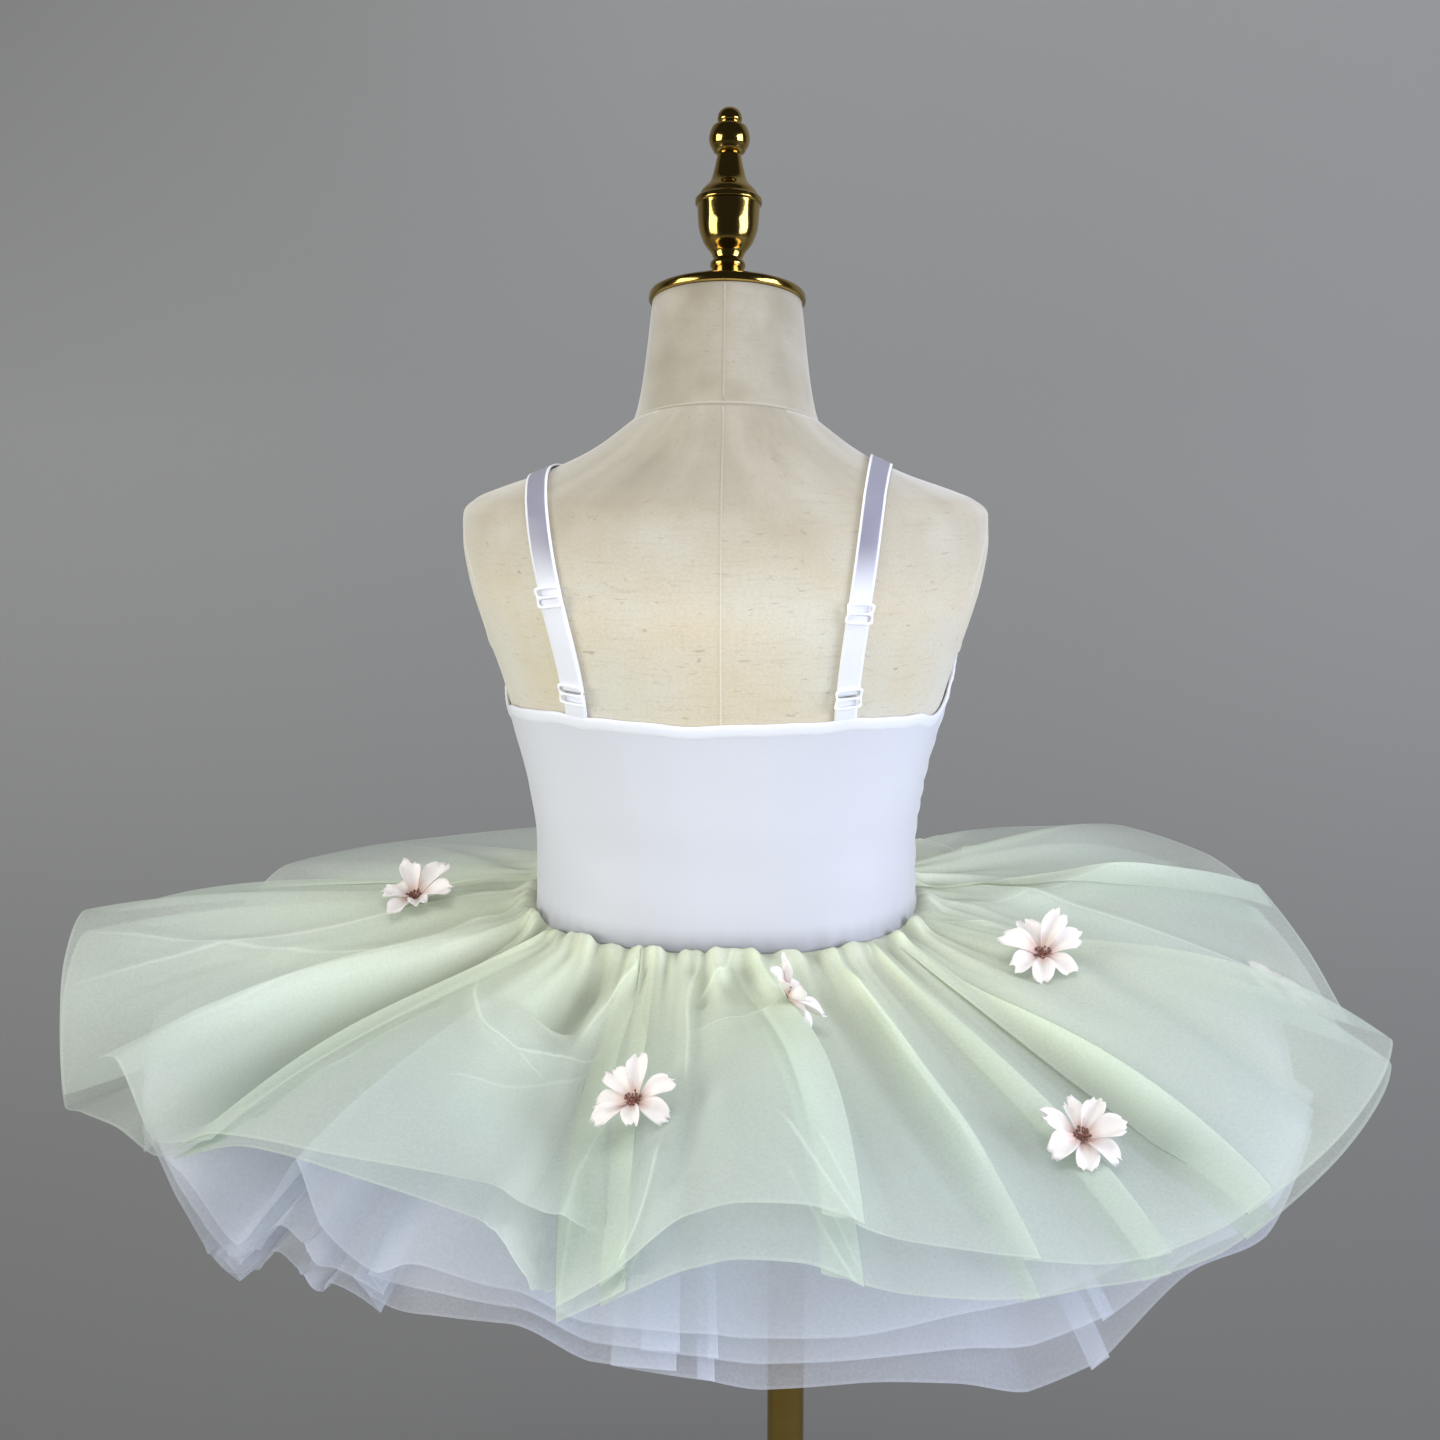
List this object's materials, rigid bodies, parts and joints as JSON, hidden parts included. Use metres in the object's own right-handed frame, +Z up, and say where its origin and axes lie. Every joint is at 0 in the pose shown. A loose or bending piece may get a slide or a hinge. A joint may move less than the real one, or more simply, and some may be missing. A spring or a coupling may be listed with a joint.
{
  "type": "child's ballet tutu on a limbless dress form with stand",
  "caption": "Child's short ballet tutu with camisole bodice and layered gathered tulle skirt with flowers, on a limbless dress form with brass finial and round-based stand.",
  "frame": {"origin": "on the floor under the stand's pole, the middle of the base's underside", "axes": "+Z up; +Y the wearer's front, so the garment's back faces -Y; +X the wearer's right, seen on the right from behind"},
  "size_m": [0.6701, 0.6587, 1.022],
  "materials": {
    "linen": "matt natural linen, fine cross weave with slubs",
    "satin_white": "white stretch satin jersey, soft sheen",
    "elastic_white": "white satin elastic, soft sheen",
    "tulle_green": "sheer sage green tulle",
    "tulle_white": "sheer cool white tulle",
    "petal_white": "cream white fabric petals, matt",
    "plastic_white": "white moulded plastic",
    "brass": "polished"
  },
  "bodies": {
    "root": {"binding_back": "elastic_white", "binding_front": "elastic_white", "bodice_back": "satin_white", "bodice_front": "satin_white", "finial": "brass", "flower_a": "petal_white", "flower_b": "petal_white", "flower_c": "petal_white", "flower_d": "petal_white", "flower_e": "petal_white", "flower_f": "petal_white", "flower_g": "petal_white", "flower_h": "petal_white", "flower_i": "petal_white", "flower_j": "petal_white", "flower_k": "petal_white", "flower_l": "petal_white", "form_cap": "brass", "form_neck": "linen", "form_torso": "linen", "skirt_green_outer": "tulle_green", "skirt_green_under": "tulle_green", "skirt_white_lower": "tulle_white", "skirt_white_middle": "tulle_white", "skirt_white_upper": "tulle_white", "slider_high_left": "plastic_white", "slider_high_right": "plastic_white", "slider_low_left": "plastic_white", "slider_low_right": "plastic_white", "stand_base": "brass", "stand_collar": "brass", "stand_pole": "brass", "strap_left": "elastic_white", "strap_right": "elastic_white", "strap_tab_left": "elastic_white", "strap_tab_right": "elastic_white"}
  },
  "joints": []
}
